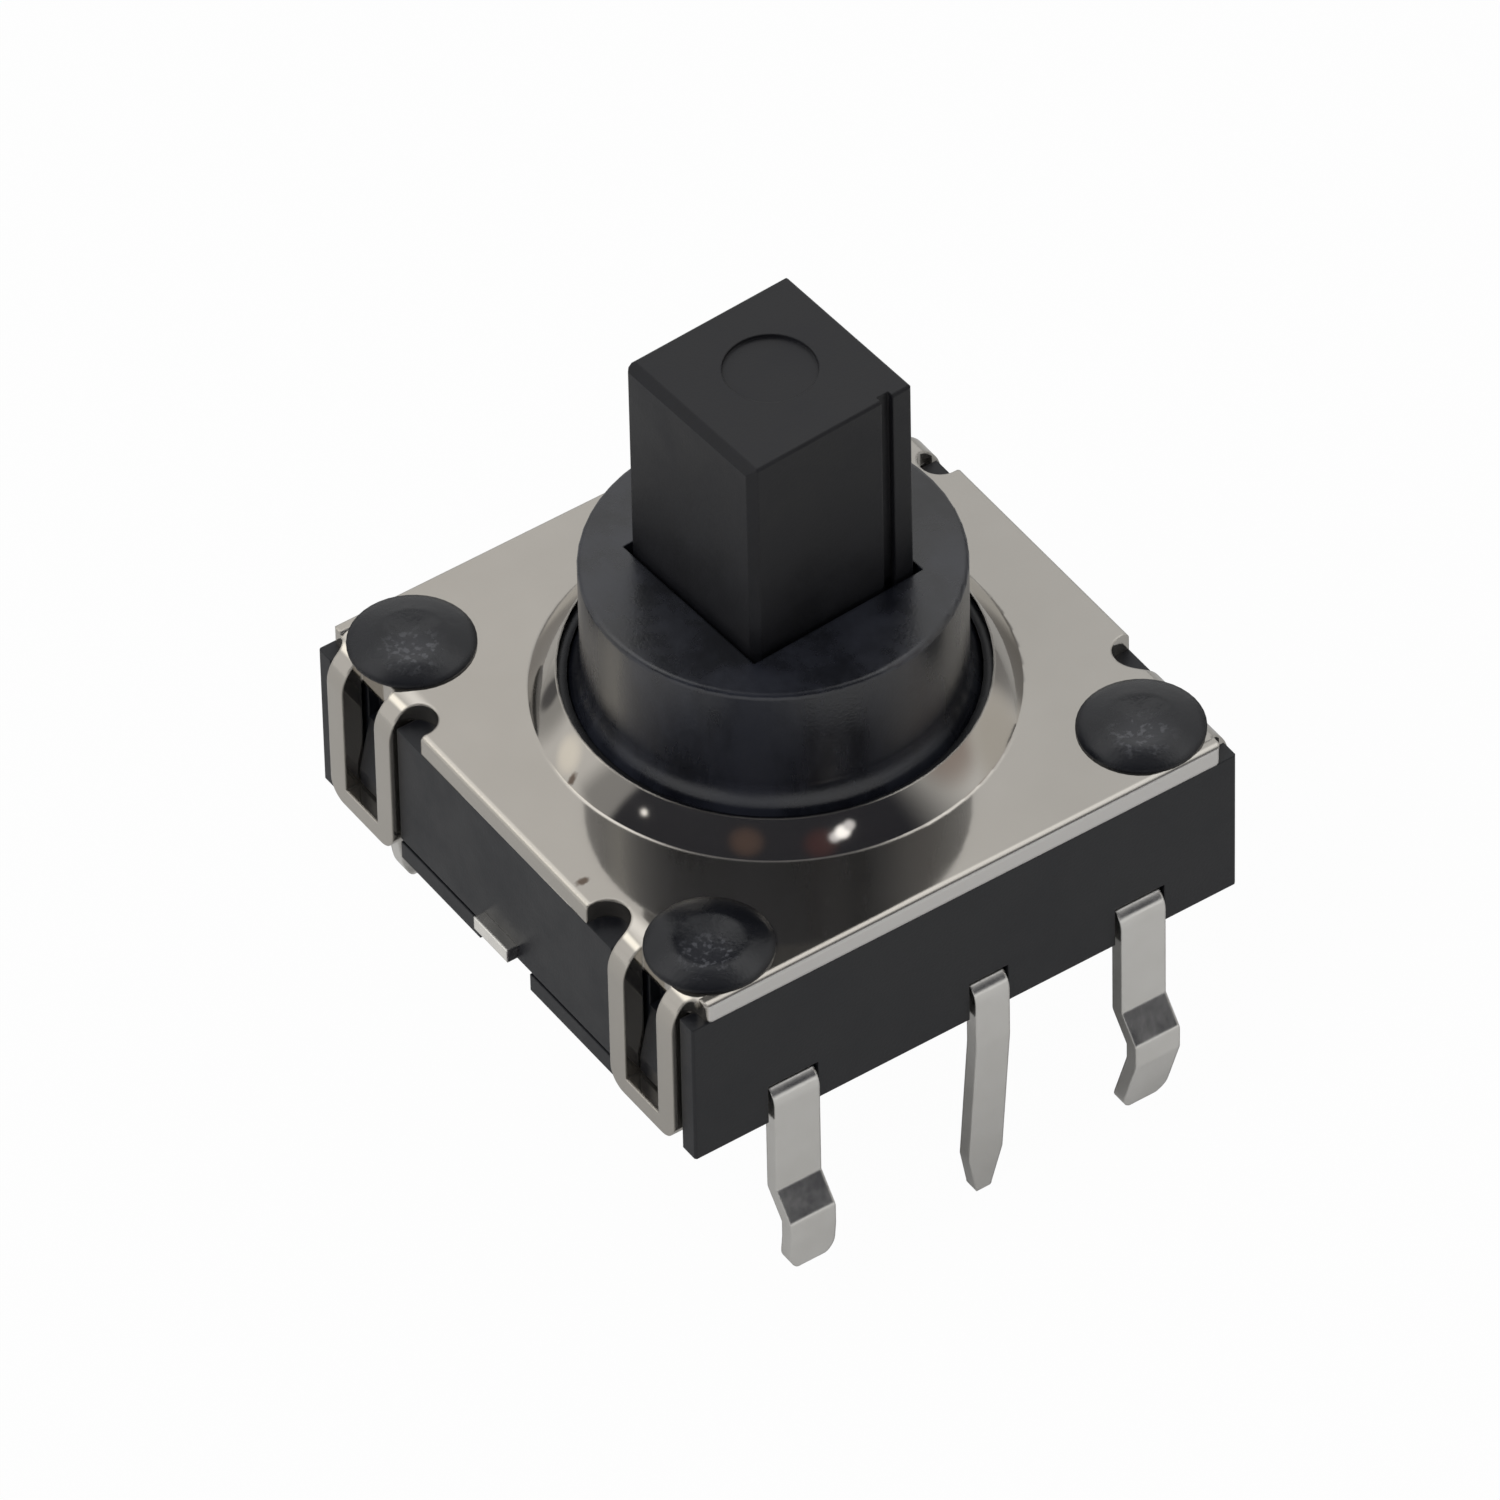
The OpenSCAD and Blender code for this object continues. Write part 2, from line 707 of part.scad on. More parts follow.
module mid_pin(x) {
    y = -face - pin_proud + strip_t / 2;
    foot = -mid_pin_len + strip_t / 2;
    translate([x, 0, 0]) intersection() {
        rotate([90, 0, 90]) linear_extrude(mid_pin_w, center = true)
            pin_section([[y, -mid_lean_start], [y + mid_lean, foot]]);
        rotate([90, 0, 0]) linear_extrude(2 * body_w, center = true) mid_pin_outline();
    }
}

// The flat part of a terminal inside the housing: a strip, its pin's root and raised contacts.
module lead(points, pin_w, contacts, rim_pads) {
    translate([0, 0, strip_h]) linear_extrude(strip_t) {
        track(points, strip_w);
        translate([points[0][0] - pin_w / 2, -face + pin_bend_r]) square([pin_w, pin_root]);
        for (p = contacts)
            translate(p) circle(contact_r);
        for (p = rim_pads)
            translate(p) circle(rim_pad_r);
    }
    for (p = contacts)
        translate([p[0], p[1], strip_h]) cylinder(r = contact_r - 0.12, h = well_z - strip_h);
    for (p = rim_pads)
        translate([p[0], p[1], strip_h]) cylinder(r = rim_pad_r - 0.06, h = well_z - strip_h);
}

// Side contact with its pin at the left of the -Y side and a cut-off lead stub at -X.
module side_lead() {
    lead([[-outer_pin_x, -face + lead_start], [-outer_pin_x, -lead_turn], [-dome_pitch, 0]],
         outer_pin_w, [[-dome_pitch, 0]], []);
    translate([-face - stub_out, stub_y - stub_w / 2, strip_h])
        cube([face + stub_out - dome_pitch, stub_w, strip_t]);
}

// Side contact with its pin at the middle of the -Y side.
module mid_lead() {
    lead([[mid_pin_x, -face + lead_start], [mid_pin_x, -dome_pitch - mid_turn], [0, -dome_pitch]],
         mid_pin_w, [[0, -dome_pitch]], []);
}

module west_lead() side_lead();
module east_lead() rotate(180) side_lead();
module south_lead() mid_lead();
module north_lead() rotate(180) mid_lead();

module centre_lead() {
    lead([[outer_pin_x, -face + lead_start], [outer_pin_x, -outer_pin_x], [0, 0]],
         outer_pin_w, [[0, 0]], []);
}

// The common strip runs round the centre and touches the rim of each dome.
module common_lead() {
    centre_rim = centre_dome_r - rim_inset;
    side_rim = side_dome_r - rim_inset;
    run = (centre_rim + dome_pitch - side_rim) / 2;
    spread = dome_pitch - side_rim - centre_rim + 2 * rim_pad_r;
    side_touch = [-dome_pitch + side_rim * cos(28), -side_rim * sin(28)];
    far_touch = [side_rim * cos(62), dome_pitch - side_rim * sin(62)];
    rotate(180) {
        lead([[outer_pin_x, -face + lead_start], [outer_pin_x, -outer_pin_x], [run, -run]],
             outer_pin_w, [], [[centre_rim, 0], [dome_pitch - side_rim, 0], [0, -centre_rim],
                               [0, -dome_pitch + side_rim], side_touch, far_touch]);
        translate([0, 0, strip_h]) linear_extrude(strip_t) {
            track([[run, -run], [run, run], far_touch], strip_w);
            track([[run, -run], [-run, -run], side_touch], strip_w);
            translate([run, 0]) square([spread, strip_w], center = true);
            translate([0, -run]) square([strip_w, spread], center = true);
        }
    }
}

module west_terminal() color(tin) {
    west_lead();
    outer_pin(-outer_pin_x, west_end);
}

module east_terminal() color(tin) {
    east_lead();
    rotate(180) outer_pin(-outer_pin_x, east_end);
}

module south_terminal() color(tin) {
    south_lead();
    mid_pin(mid_pin_x);
}

module north_terminal() color(tin) {
    north_lead();
    rotate(180) mid_pin(mid_pin_x);
}

module centre_terminal() color(tin) {
    centre_lead();
    outer_pin(outer_pin_x, centre_end);
}

module common_terminal() color(tin) {
    common_lead();
    rotate(180) outer_pin(outer_pin_x, common_end);
}

housing();
cover();
guide_ring();
collar();
stem();
centre_dome();
west_dome();
east_dome();
south_dome();
north_dome();
west_terminal();
east_terminal();
south_terminal();
north_terminal();
centre_terminal();
common_terminal();
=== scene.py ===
"""Looks of the multi-direction switch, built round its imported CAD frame.

The CAD nodes keep their shapes. This script gives each of them its finish, lights them in a
pale studio and sets the camera. Lengths are in metres unless a name ends in _MM. Angles are in
degrees, and an azimuth runs from +Y towards +X. Colours are linear.
"""
import math

import bpy
from mathutils import Euler, Matrix, Vector


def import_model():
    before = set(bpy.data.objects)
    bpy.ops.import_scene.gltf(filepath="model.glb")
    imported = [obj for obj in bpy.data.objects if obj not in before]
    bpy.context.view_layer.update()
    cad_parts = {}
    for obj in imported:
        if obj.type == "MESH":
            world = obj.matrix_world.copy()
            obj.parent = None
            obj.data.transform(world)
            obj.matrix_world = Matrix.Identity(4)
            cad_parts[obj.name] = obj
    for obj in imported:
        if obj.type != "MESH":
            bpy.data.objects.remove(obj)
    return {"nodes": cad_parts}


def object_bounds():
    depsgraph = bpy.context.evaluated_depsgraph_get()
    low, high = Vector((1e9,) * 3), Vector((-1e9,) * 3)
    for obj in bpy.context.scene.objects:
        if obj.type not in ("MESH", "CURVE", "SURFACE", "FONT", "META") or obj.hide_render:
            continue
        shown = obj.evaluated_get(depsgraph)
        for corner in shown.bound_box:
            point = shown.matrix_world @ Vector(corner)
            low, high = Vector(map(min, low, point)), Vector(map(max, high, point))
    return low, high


MM = 0.001

# ---- Camera: a long lens. Yaw turns it about +Z from looking along +Y. ----
CAMERA_PLACE_MM = (-118.28, -175.55, 213.71)
CAMERA_YAW = -33.86
CAMERA_PITCH = 45.04
CAMERA_ROLL = -1.30
CAMERA_LENS_MM = 473.0
CAMERA_SENSOR_MM = 36.0
CAMERA_CLIP = (0.01, 10.0)

# ---- Studio: a pale tent with a brighter roof and a dark opening on the camera's side ----
# _GLOSS is what mirrors see and _LIGHT is what lights matt surfaces.
TENT_GLOSS = 0.66
ROOF_GLOSS = 1.25
ROOF_ELEVATION = 52
ROOF_SOFT = 6
TENT_LIGHT = 0.62
OPENING_LIGHT = 0.12
OPENING_DARK = (0.008, 0.009, 0.016)
OPENING_BOTTOM = 14
OPENING_TOP = 72
OPENING_SOFT = 0.06  # of the sine of the elevation
# The opening's sides: azimuth, half width of the soft edge, and share. The left side has two.
OPENING_RIGHT = (-219, 18, 1.0)
OPENING_LEFT = ((-73, 2, 0.42), (-56, 5, 0.58))
# Round things: azimuth, elevation, inner and outer half angle, colour
OPENING_THINGS = (
    (-131, 38, 0, 8, (0.078, 0.048, 0.040)),    # two reddish things
    (-165, 36, 0, 8, (0.052, 0.018, 0.020)),
    (-172, 37, 0.5, 3, (0.9, 0.9, 0.95)),       # a window, as three spots in a row
    (-176, 38, 1.2, 3.8, (1.8, 1.8, 1.85)),
    (-180, 39.5, 0.5, 3, (0.9, 0.9, 0.95)),
    (-83, 31, 0.6, 1.8, (1.6, 1.6, 1.6)),       # a small lamp
)
TENT_THINGS = (
    (-19, 7, 6, 17, (0.32, 0.32, 0.32)),        # a dark thing and its grey surround
    (-18.5, 4.5, 3, 5.5, (0.07, 0.07, 0.075)),
    (3, 12, 6, 16, (0.33, 0.33, 0.34)),         # greyer parts of the tent
    (75, 8, 8, 22, (0.24, 0.235, 0.235)),
    (120, 32, 4, 18, (0.36, 0.31, 0.29)),
    (105, 8, 6, 20, (0.55, 0.53, 0.50)),
    (-43, 15, 0, 8, (0.95, 0.92, 0.86)),        # two bright parts
    (-38, 40, 3, 11, (1.6, 1.58, 1.5)),
    (0, 90, 14, 28, (0.14, 0.14, 0.15)),        # a dark patch overhead
)
KEY_AZIMUTH = -100
KEY_ELEVATION = 50
KEY_DISTANCE = 0.5
KEY_SIZE = 0.25
KEY_WATTS = 1.2
FLOOR_SIZE = 0.8
FLOOR_PAPER = (0.62, 0.62, 0.62, 1.0)
FLOOR_WHITE = 0.975  # share of plain white in what the camera sees, the rest shows the shadow

# ---- Colours of the materials: the darker and the lighter end of each ----
HOUSING_BLACKS = ((0.0065, 0.0072, 0.0098), (0.0110, 0.0118, 0.0150))
# The heads' pale grey, for worn specks and for painted light on the -X -Y side of each dish
HEAD_WEAR_AND_LIGHT_GREY = (0.085, 0.087, 0.097)
COLLAR_BLACKS = ((0.0058, 0.0065, 0.0095), (0.0180, 0.0200, 0.0285))
STEM_BLACKS = ((0.0065, 0.0067, 0.0085), (0.0110, 0.0113, 0.0140))
NICKELS_LEFT = ((0.585, 0.550, 0.495), (0.650, 0.615, 0.560))
NICKELS_RIGHT = ((0.545, 0.520, 0.475), (0.605, 0.580, 0.535))
# Pale sheared faces, partly painted light on the plate's ±Y sides
SHEARED_AND_LIT_NICKEL = (0.84, 0.82, 0.79)
STAIN_BROWN = (0.12, 0.075, 0.05)
TINS = ((0.83, 0.81, 0.765), (0.95, 0.935, 0.90))
STEELS = ((0.62, 0.63, 0.64), (0.74, 0.74, 0.75))

# ---- Places on the CAD shapes ----
# The staked heads' middles, along X and along Y, and the height that they stand above
HEAD_PLACE_MM = 3.97
HEAD_BASE_MM = 3.12
# Round areas on each head: middle, inner and outer radius
HEAD_DISH_MM = ((0, 0), 0.5, 0.95)
# A pale spot towards -X -Y in each dish: painted light where light falls on the dish's wall, with
# worn specks in it
HEAD_WEAR_AND_LIGHT_MM = ((-0.16, -0.22), 0.15, 0.62)
# The lip's section is an arc about this point, at a distance from the axis and a height
LIP_ARC_MM = (0.603, 0.664)
LIP_SPAN_MM = (3.34, 3.755)
LIP_BASE_MM = 3.13
# The nickel changes from its left colours to its right ones between -X and +X of this
NICKEL_CHANGE_MM = 4.5
# The plate's sheared side faces lie further out than this along Y. Their pale colour is partly
# painted light on the plate's ±Y sides
SHEARED_AND_LIT_FROM_MM = 4.7
# The lead frame's cut ends lie further out than this along X, and lean upward by this much
CUT_END_FROM_MM = 4.85
CUT_END_LEAN = 0.9
# Small brown stains on the cover: middle and half size
STAINS_MM = (
    ((-4.74, -1.74), (0.14, 0.08)),
    ((-3.69, 0.06), (0.08, 0.08)),
)

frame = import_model()
cad_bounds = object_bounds()


# ---- Node helpers ----

class Tree:
    """A small writer for one node tree."""

    def __init__(self, owner):
        owner.use_nodes = True
        self.nodes = owner.node_tree.nodes
        self.links = owner.node_tree.links
        self.nodes.clear()

    def add(self, kind, settings=None, **inputs):
        """A new node. Inputs are given by name, with _ for a space."""
        node = self.nodes.new(kind)
        for name, value in (settings or {}).items():
            setattr(node, name, value)
        for name, value in inputs.items():
            self.put(node, name.replace("_", " "), value)
        return node

    def put(self, node, key, value):
        """Sets or links a node's input, which is given by its name or its number."""
        socket = node.inputs[key]
        if isinstance(value, bpy.types.NodeSocket):
            self.links.new(value, socket)
        else:
            socket.default_value = value

    def math(self, operation, *values, clamp=False):
        node = self.add("ShaderNodeMath", {"operation": operation, "use_clamp": clamp})
        for i, value in enumerate(values):
            self.put(node, i, value)
        return node.outputs[0]

    def vector(self, operation, *values):
        """A vector operation. A dot product gives a number, the others a vector."""
        node = self.add("ShaderNodeVectorMath", {"operation": operation})
        for i, value in enumerate(values):
            self.put(node, i, value)
        return node.outputs["Value" if operation == "DOT_PRODUCT" else "Vector"]

    def step(self, value, low, high, out_low=0.0, out_high=1.0):
        """A smooth step of value from low to high."""
        node = self.add("ShaderNodeMapRange", {"interpolation_type": "SMOOTHSTEP"})
        for i, part in enumerate((value, low, high, out_low, out_high)):
            self.put(node, i, part)
        return node.outputs["Result"]

    def product(self, *values):
        """All the values multiplied together."""
        result = values[0]
        for value in values[1:]:
            result = self.math("MULTIPLY", result, value)
        return result

    def total(self, a, b, clamp=False):
        return self.math("ADD", a, b, clamp=clamp)

    def hypotenuse(self, a, b):
        return self.math("SQRT", self.total(self.product(a, a), self.product(b, b)))

    def split(self, vector):
        return self.add("ShaderNodeSeparateXYZ", Vector=vector).outputs

    def noise(self, where, size, detail=3.0, roughness=0.55):
        """Noise whose features are about size metres across."""
        node = self.add("ShaderNodeTexNoise", Vector=where, Scale=1 / size, Detail=detail,
                        Roughness=roughness)
        return node.outputs["Fac"]

    def mix(self, share, a, b):
        """A colour mix of a and b."""
        node = self.add("ShaderNodeMix", {"data_type": "RGBA"})
        self.put(node, 0, share)
        for i, colour in ((6, a), (7, b)):
            is_socket = isinstance(colour, bpy.types.NodeSocket)
            self.put(node, i, colour if is_socket else (*colour, 1.0))
        return node.outputs[2]

    def output(self, kind, surface):
        self.add(kind, Surface=surface)


def grey(value):
    return (value, value, value)


def direction(azimuth, elevation):
    """The unit vector towards an azimuth and elevation."""
    a, e = math.radians(azimuth), math.radians(elevation)
    return Vector((math.sin(a) * math.cos(e), math.cos(a) * math.cos(e), math.sin(e)))


def sine(degrees):
    return math.sin(math.radians(degrees))


def principled(name, **constants):
    """A material with a Principled BSDF, its tree, the shader node and the place on the part."""
    material = bpy.data.materials.new(name)
    tree = Tree(material)
    shader = tree.add("ShaderNodeBsdfPrincipled", **constants)
    tree.output("ShaderNodeOutputMaterial", shader.outputs[0])
    place = tree.add("ShaderNodeTexCoord").outputs["Object"]
    return material, tree, shader, place


def rounded(tree, radius):
    """A normal that is rounded off at edges."""
    return tree.add("ShaderNodeBevel", {"samples": 4}, Radius=radius).outputs[0]


def bump(tree, shader, height, distance, strength, normal):
    """Gives the shader a normal with a bump of height times distance."""
    node = tree.add("ShaderNodeBump", Height=height, Distance=distance, Strength=strength,
                    Normal=normal)
    tree.put(shader, "Normal", node.outputs[0])


# ---- Materials ----

def stem_plastic():
    """Smooth moulded black."""
    material, tree, shader, place = principled("stem_black", Specular_IOR_Level=0.5)
    clouds = tree.noise(place, 0.9 * MM, 4.0)
    grain = tree.noise(place, 0.05 * MM, 2.0)
    tree.put(shader, "Base Color", tree.mix(tree.step(clouds, 0.35, 0.7), *STEM_BLACKS))
    tree.put(shader, "Roughness", tree.step(clouds, 0.3, 0.75, 0.4, 0.53))
    bump(tree, shader, grain, 0.004 * MM, 0.5, rounded(tree, 0.04 * MM))
    return material


def collar_plastic():
    """Moulded black with cloudy blue-grey patches, which are drawn out along the barrel."""
    material, tree, shader, place = principled("collar_black", Specular_IOR_Level=0.95)
    drawn = tree.vector("MULTIPLY", place, (1.0, 1.0, 0.3))
    clouds = tree.noise(drawn, 1.3 * MM, 5.0, 0.62)
    streaks = tree.noise(tree.vector("MULTIPLY", place, (1.0, 0.25, 0.25)), 0.12 * MM)
    grain = tree.noise(place, 0.06 * MM, 2.0)
    patches = tree.step(clouds, 0.38, 0.66)
    worn = tree.total(patches, tree.step(streaks, 0.5, 0.8, 0.0, 0.25), clamp=True)
    tree.put(shader, "Base Color", tree.mix(worn, *COLLAR_BLACKS))
    tree.put(shader, "Roughness", tree.step(clouds, 0.3, 0.7, 0.2, 0.34))
    bump(tree, shader, grain, 0.004 * MM, 0.5, rounded(tree, 0.05 * MM))
    return material


def housing_plastic():
    """Moulded black. The staked heads are glossier, with lumpy dishes, pale worn specks and
    painted light on the -X -Y side of each dish.
    """
    material, tree, shader, place = principled("housing_black", Specular_IOR_Level=0.5)
    x, y, z = tree.split(place)
    across, along = (
        tree.math("SUBTRACT", way, tree.product(tree.math("SIGN", way), HEAD_PLACE_MM * MM))
        for way in (x, y)
    )
    on_top = tree.math("GREATER_THAN", z, HEAD_BASE_MM * MM)

    def spot(middle, inner, outer):
        """1 near a place on each head, 0 further out."""
        far = tree.hypotenuse(tree.math("SUBTRACT", across, middle[0] * MM),
                              tree.math("SUBTRACT", along, middle[1] * MM))
        return tree.product(on_top, tree.step(far, inner * MM, outer * MM, 1.0, 0.0))

    clouds = tree.noise(place, 0.9 * MM, 4.0)
    black = tree.mix(tree.step(clouds, 0.35, 0.7), *HOUSING_BLACKS)
    specks = tree.step(tree.noise(place, 0.11 * MM, 2.0), 0.52, 0.68)
    # Painted light over the whole spot, with pale worn specks on top
    wear_and_painted_light = tree.product(spot(*HEAD_WEAR_AND_LIGHT_MM), tree.total(tree.product(specks, 1.1), 0.28))
    tree.put(shader, "Base Color", tree.mix(wear_and_painted_light, black, HEAD_WEAR_AND_LIGHT_GREY))
    rough = tree.step(clouds, 0.3, 0.75, 0.38, 0.5)
    tree.put(shader, "Roughness", tree.math("SUBTRACT", rough, tree.product(on_top, 0.16)))
    grain = tree.product(tree.noise(place, 0.05 * MM, 2.0), 0.004 * MM)
    lumps = tree.product(tree.noise(place, 0.34 * MM, 3.0, 0.6), 0.025 * MM)
    height = tree.total(grain, tree.product(spot(*HEAD_DISH_MM), lumps))
    edge = tree.total(tree.product(on_top, 0.1 * MM), 0.04 * MM)
    bump(tree, shader, height, 1.0, 0.6, rounded(tree, edge))
    return material


def lip_normal(tree, place, normal):
    """The drawn lip's exact normal on the lip, and the given normal elsewhere."""
    x, y, z = tree.split(place)
    radius = tree.hypotenuse(x, y)
    outward = tree.math("DIVIDE", tree.math("SUBTRACT", radius, LIP_ARC_MM[0] * MM), radius)
    exact = tree.add("ShaderNodeCombineXYZ", X=tree.product(x, outward),
                     Y=tree.product(y, outward), Z=tree.math("SUBTRACT", z, LIP_ARC_MM[1] * MM))
    on_lip = tree.product(tree.math("GREATER_THAN", radius, LIP_SPAN_MM[0] * MM),
                          tree.math("LESS_THAN", radius, LIP_SPAN_MM[1] * MM),
                          tree.math("GREATER_THAN", z, LIP_BASE_MM * MM))
    blend = tree.add("ShaderNodeMix", {"data_type": "VECTOR"})
    tree.put(blend, 0, on_lip)
    tree.put(blend, 4, normal)
    tree.put(blend, 5, tree.vector("NORMALIZE", exact.outputs[0]))
    return blend.outputs[1]


def stained(tree, place, sheet):
    """The sheet's colour with small ragged stains."""
    x, y, _ = tree.split(place)
    ragged = tree.product(tree.noise(place, 0.12 * MM, 2.0), 0.9)
    for middle, half in STAINS_MM:
        along, across = (
            tree.math("DIVIDE", tree.math("SUBTRACT", way, m * MM), h * MM)
            for way, m, h in zip((x, y), middle, half)
        )
        far = tree.total(tree.hypotenuse(along, across), ragged)
        sheet = tree.mix(tree.step(far, 0.9, 1.6, 0.85, 0.0), sheet, STAIN_BROWN)
    return sheet


def nickel_silver():
    """Bright rolled sheet, a little darker towards +X, with stains and pale, rougher sheared
    edges on the ±Y sides; their pale colour is partly painted light.
    """
    material, tree, shader, place = principled("cover_nickel", Metallic=0.96)
    x, y, _ = tree.split(place)
    haze = tree.noise(place, 1.5 * MM, 4.0)
    change = tree.step(x, -NICKEL_CHANGE_MM * MM, NICKEL_CHANGE_MM * MM)
    low, high = (tree.mix(change, *pair) for pair in zip(NICKELS_LEFT, NICKELS_RIGHT))
    sheet = stained(tree, place, tree.mix(haze, low, high))
    facing = tree.split(tree.add("ShaderNodeNewGeometry").outputs["True Normal"])[1]
    # Faces towards ±Y at the plate's sides: rougher as sheared edges, and paler as painted light
    sheared_and_lit = tree.product(
        tree.step(tree.math("ABSOLUTE", facing), 0.7, 0.9),
        tree.math("GREATER_THAN", tree.math("ABSOLUTE", y), SHEARED_AND_LIT_FROM_MM * MM),
    )
    tree.put(shader, "Base Color", tree.mix(sheared_and_lit, sheet, SHEARED_AND_LIT_NICKEL))
    rough = tree.step(haze, 0.3, 0.7, 0.055, 0.095)
    tree.put(shader, "Roughness", tree.total(rough, tree.product(sheared_and_lit, 0.25)))
    grain = tree.noise(place, 0.4 * MM)
    normal = lip_normal(tree, place, rounded(tree, 0.055 * MM))
    bump(tree, shader, grain, 0.001 * MM, 0.4, normal)
    return material


def tin_plate():
    """Bright tin with soft bumps from plating. The cut ends are smeared upward."""
    material, tree, shader, place = principled("terminal_tin", Metallic=1.0)
    haze = tree.noise(place, 0.5 * MM, 4.0)
    tree.put(shader, "Base Color", tree.mix(haze, *TINS))
    tree.put(shader, "Roughness", tree.step(haze, 0.3, 0.7, 0.16, 0.24))
    grain = tree.noise(place, 0.35 * MM)
    from_middle = tree.math("ABSOLUTE", tree.split(place)[0])
    cut_end = tree.math("GREATER_THAN", from_middle, CUT_END_FROM_MM * MM)
    lean = tree.add("ShaderNodeCombineXYZ", Z=tree.product(cut_end, CUT_END_LEAN)).outputs[0]
    normal = tree.vector("NORMALIZE", tree.vector("ADD", rounded(tree, 0.05 * MM), lean))
    bump(tree, shader, grain, 0.006 * MM, 0.5, normal)
    return material


def spring_steel():
    """Bright spring steel, for the domes inside."""
    material, tree, shader, place = principled("dome_spring_steel", Metallic=1.0)
    haze = tree.noise(place, 0.3 * MM)
    tree.put(shader, "Base Color", tree.mix(haze, *STEELS))
    tree.put(shader, "Roughness", tree.step(haze, 0.3, 0.7, 0.18, 0.3))
    return material


def finish_nodes():
    """Gives every CAD node its material."""
    housing, tin, steel = housing_plastic(), tin_plate(), spring_steel()
    finishes = {
        "housing": housing,
        "guide_ring": housing,
        "collar": collar_plastic(),
        "stem": stem_plastic(),
        "cover": nickel_silver(),
    }
    for name, node in frame["nodes"].items():
        other = steel if name.endswith("_dome") else tin
        node.data.materials.clear()
        node.data.materials.append(finishes.get(name, other))


# ---- Studio ----

def tent():
    """The world: white to the camera, a pale tent with a dark opening to everything else."""
    world = bpy.data.worlds.new("tent")
    bpy.context.scene.world = world
    tree = Tree(world)
    way = tree.add("ShaderNodeTexCoord").outputs["Generated"]
    height = tree.split(way)[2]
    # A little over 1, so that it stays above zero overhead
    level = tree.math("SQRT", tree.math("SUBTRACT", 1.0001, tree.product(height, height)))

    def with_things(colour, things):
        """The colour with soft round things laid over it in turn."""
        for azimuth, elevation, inner, outer, thing in things:
            near = tree.vector("DOT_PRODUCT", way, direction(azimuth, elevation))
            share = tree.step(near, sine(90 - outer), sine(90 - inner))
            colour = tree.mix(share, colour, thing)
        return colour

    def before(azimuth, soft, share):
        """The share where azimuths are smaller than this one, and 0 where they are larger."""
        across = tree.vector("DOT_PRODUCT", way, direction(azimuth - 90, 0))
        return tree.step(tree.math("DIVIDE", across, level), -sine(soft), sine(soft), 0.0, share)

    roof = tree.step(height, sine(ROOF_ELEVATION - ROOF_SOFT), sine(ROOF_ELEVATION + ROOF_SOFT))
    walls = with_things(tree.mix(roof, grey(TENT_GLOSS), grey(ROOF_GLOSS)), TENT_THINGS)
    low, high = sine(OPENING_BOTTOM), sine(OPENING_TOP)
    opening = tree.product(
        tree.total(*(before(*edge) for edge in OPENING_LEFT)),
        tree.math("SUBTRACT", 1.0, before(*OPENING_RIGHT)),
        tree.step(height, low - OPENING_SOFT, low + OPENING_SOFT),
        tree.step(height, high - OPENING_SOFT, high + OPENING_SOFT, 1.0, 0.0),
    )
    gloss = tree.mix(opening, walls, with_things(OPENING_DARK, OPENING_THINGS))
    matt = tree.mix(opening, grey(TENT_LIGHT), grey(OPENING_LIGHT))
    rays = tree.add("ShaderNodeLightPath").outputs
    light = tree.mix(rays["Is Glossy Ray"], matt, gloss)
    colour = tree.mix(rays["Is Camera Ray"], light, grey(1.0))
    background = tree.add("ShaderNodeBackground", Color=colour, Strength=1.0)
    tree.output("ShaderNodeOutputWorld", background.outputs[0])


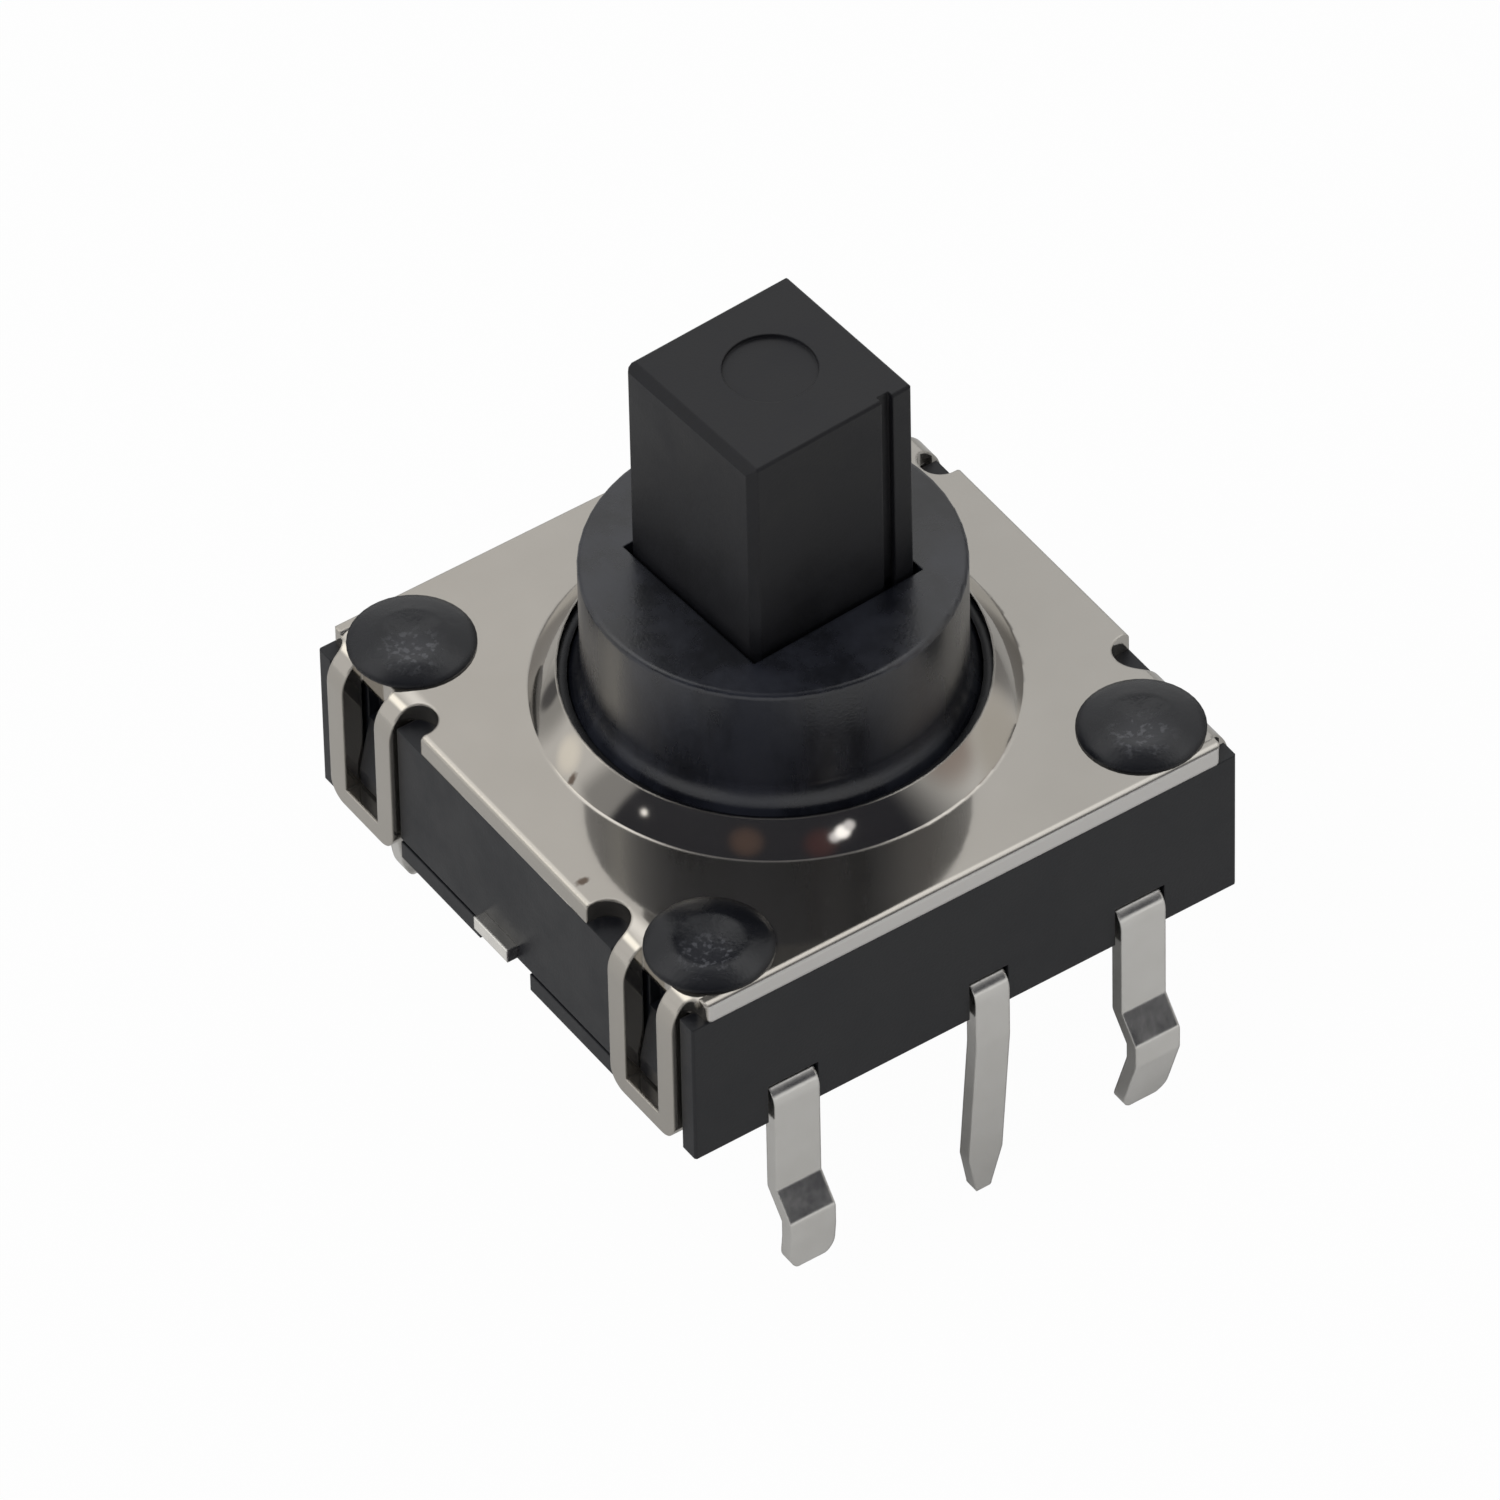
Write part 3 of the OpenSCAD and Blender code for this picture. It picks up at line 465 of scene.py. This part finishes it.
def floor_material():
    """Near white to the camera with a light shadow, pale paper to the rest, clear from below."""
    material = bpy.data.materials.new("floor_white")
    tree = Tree(material)
    paper = tree.add("ShaderNodeBsdfDiffuse", Color=FLOOR_PAPER)
    white = tree.add("ShaderNodeEmission", Color=(1.0, 1.0, 1.0, 1.0), Strength=1.0)
    clear = tree.add("ShaderNodeBsdfTransparent")
    to_camera = tree.add("ShaderNodeLightPath").outputs["Is Camera Ray"]
    below = tree.add("ShaderNodeNewGeometry").outputs["Backfacing"]

    def mixed(share, a, b):
        node = tree.add("ShaderNodeMixShader")
        for i, part in enumerate((share, a.outputs[0], b.outputs[0])):
            tree.put(node, i, part)
        return node

    above = mixed(tree.product(to_camera, FLOOR_WHITE), paper, white)
    tree.output("ShaderNodeOutputMaterial", mixed(below, above, clear).outputs[0])
    return material


def floor():
    """A square floor at the pins' tips."""
    half = FLOOR_SIZE / 2
    level = cad_bounds[0].z
    mesh = bpy.data.meshes.new("floor")
    square = ((-half, -half), (half, -half), (half, half), (-half, half))
    mesh.from_pydata([(x, y, level) for x, y in square], [], [(0, 1, 2, 3)])
    mesh.materials.append(floor_material())
    plane = bpy.data.objects.new("floor", mesh)
    bpy.context.scene.collection.objects.link(plane)


def key_lamp():
    """A large square lamp that faces the origin. Mirrors don't show it."""
    data = bpy.data.lights.new("key", "AREA")
    data.size = KEY_SIZE
    data.energy = KEY_WATTS
    out = direction(KEY_AZIMUTH, KEY_ELEVATION)
    item = bpy.data.objects.new("key", data)
    item.location = out * KEY_DISTANCE
    item.rotation_mode = "QUATERNION"
    item.rotation_quaternion = out.to_track_quat("Z", "Y")
    item.visible_glossy = False
    bpy.context.scene.collection.objects.link(item)


def camera():
    """The scene's camera."""
    data = bpy.data.cameras.new("camera")
    data.sensor_width = CAMERA_SENSOR_MM
    data.lens = CAMERA_LENS_MM
    data.clip_start, data.clip_end = CAMERA_CLIP
    item = bpy.data.objects.new("camera", data)
    tilt = Euler((math.radians(90 - CAMERA_PITCH), 0.0, math.radians(CAMERA_YAW))).to_matrix()
    turn = tilt @ Matrix.Rotation(math.radians(CAMERA_ROLL), 3, "Z")
    item.matrix_world = Matrix.Translation(Vector(CAMERA_PLACE_MM) * MM) @ turn.to_4x4()
    bpy.context.scene.collection.objects.link(item)
    bpy.context.scene.camera = item


finish_nodes()
tent()
floor()
key_lamp()
camera()
bpy.context.scene.view_settings.view_transform = "Standard"
